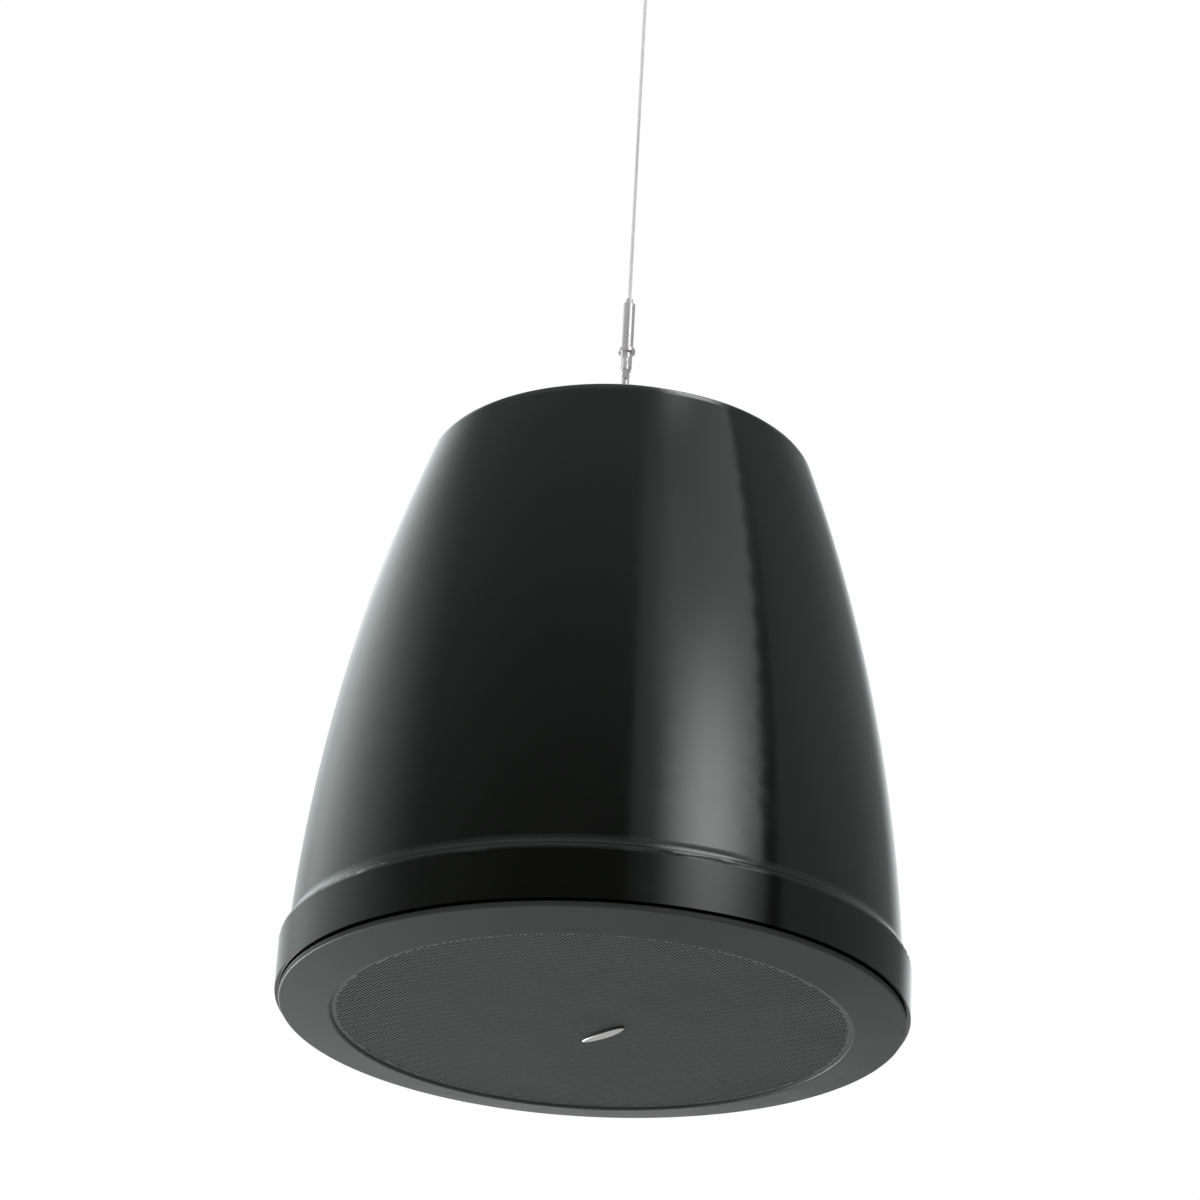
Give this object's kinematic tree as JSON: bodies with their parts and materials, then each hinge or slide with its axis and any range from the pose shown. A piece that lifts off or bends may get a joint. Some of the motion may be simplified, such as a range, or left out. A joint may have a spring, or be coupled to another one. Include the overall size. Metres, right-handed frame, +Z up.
{
  "type": "pendant speaker",
  "caption": "Bell-shaped pendant loudspeaker with a perforated round grille, hung from a wire rope by a cable gripper and a swivelling snap hook.",
  "frame": {"origin": "centre of the hole of the eye at the rope's upper end, on the speaker's axis", "axes": "+Z up along the rope and the bell's axis, -Y towards the viewer, +X to the viewer's right, along the line of the two lugs"},
  "size_m": [0.3139, 0.314, 0.6344],
  "materials": {
    "shell_plastic": "gloss",
    "face_plastic": "matt",
    "grille_paint": "matt",
    "scrim_cloth": "matt",
    "badge_metal": "satin",
    "inner_plastic": "matt",
    "foam": "matt",
    "rubber_roll": "matt",
    "felt": "matt",
    "cone_paper": "matt",
    "spider_cloth": "matt",
    "dome_silk": "satin",
    "basket_steel": "satin",
    "magnet_steel": "plated",
    "ferrite": "matt",
    "copper_wire": "enamelled",
    "lamination": "oiled",
    "screw_steel": "black",
    "bracket_steel": "zinc",
    "shaft_metal": "turned",
    "board": "matt",
    "component": "satin",
    "tab_metal": "tinned",
    "gland_plastic": "matt",
    "chromed": "polished",
    "rope_steel": "stranded"
  },
  "bodies": {
    "hanger": {"ceiling_eye": "chromed", "wire_rope": "rope_steel", "gripper_barrel": "chromed", "gripper_spring": "chromed", "swivel_stem": "chromed"},
    "plunger": {"release_plunger": "chromed", "gripper_balls": "chromed"},
    "speaker": {"hook_body": "chromed", "gate_pin": "chromed", "load_bracket": "bracket_steel", "backing_plate": "bracket_steel", "bracket_screws": "screw_steel", "top_cover": "shell_plastic", "top_cover_gasket": "foam", "top_cover_screws": "screw_steel", "cable_gland": "gland_plastic", "gland_nut": "gland_plastic", "terminal_block": "inner_plastic", "enclosure_shell": "shell_plastic", "damping_lining": "felt", "grille_frame": "face_plastic", "grille_sheet": "grille_paint", "grille_scrim": "scrim_cloth", "badge_bar": "badge_metal", "baffle": "inner_plastic", "baffle_gasket": "foam", "baffle_screws": "screw_steel", "port_tube_left": "inner_plastic", "port_tube_right": "inner_plastic", "driver_basket": "basket_steel", "driver_gasket": "foam", "driver_screws": "screw_steel", "driver_terminals": "tab_metal", "surround": "rubber_roll", "spider": "spider_cloth", "magnet_top_plate": "magnet_steel", "magnet_ring": "ferrite", "pole_piece": "magnet_steel", "tweeter_post": "magnet_steel", "tweeter_body": "inner_plastic", "tweeter_dome": "dome_silk", "tap_switch": "inner_plastic", "transformer_core": "lamination", "transformer_coil": "copper_wire", "transformer_bracket": "bracket_steel", "crossover_board": "board", "board_spacers": "board", "crossover_coil": "copper_wire", "crossover_capacitors": "component", "crossover_resistor": "component"},
    "gate": {"hook_gate": "chromed"},
    "moving_cone": {"cone": "cone_paper", "coil_former": "inner_plastic", "voice_coil": "copper_wire"},
    "knob": {"tap_knob": "inner_plastic", "tap_shaft": "shaft_metal"}
  },
  "joints": [
    {"name": "swivel", "type": "hinge", "parent": "hanger", "child": "speaker", "pos_m": [0, 0, -0.25081], "axis": [0, 0, 1], "continuous": true},
    {"name": "plunger_press", "type": "slide", "parent": "hanger", "child": "plunger", "axis": [0, 0, -1], "range_m": [0, 0.0022], "stiffness_N_per_m": 1500, "springref_m": -0.001, "deforming": ["gripper_spring"]},
    {"name": "gate_swing", "type": "hinge", "parent": "speaker", "child": "gate", "pos_m": [0, -0.008, -0.2649], "axis": [1, 0, 0], "range_deg": [0, 25], "stiffness_Nm_per_rad": 0.02, "springref_deg": -17.19},
    {"name": "cone_travel", "type": "slide", "parent": "speaker", "child": "moving_cone", "axis": [0, 0, -1], "range_m": [-0.003, 0.003], "stiffness_N_per_m": 1200, "deforming": ["surround"]},
    {"name": "tap_turn", "type": "hinge", "parent": "speaker", "child": "knob", "pos_m": [0.08, -0.08, -0.60781], "axis": [0, 0, 1], "range_deg": [0, 150]}
  ]
}
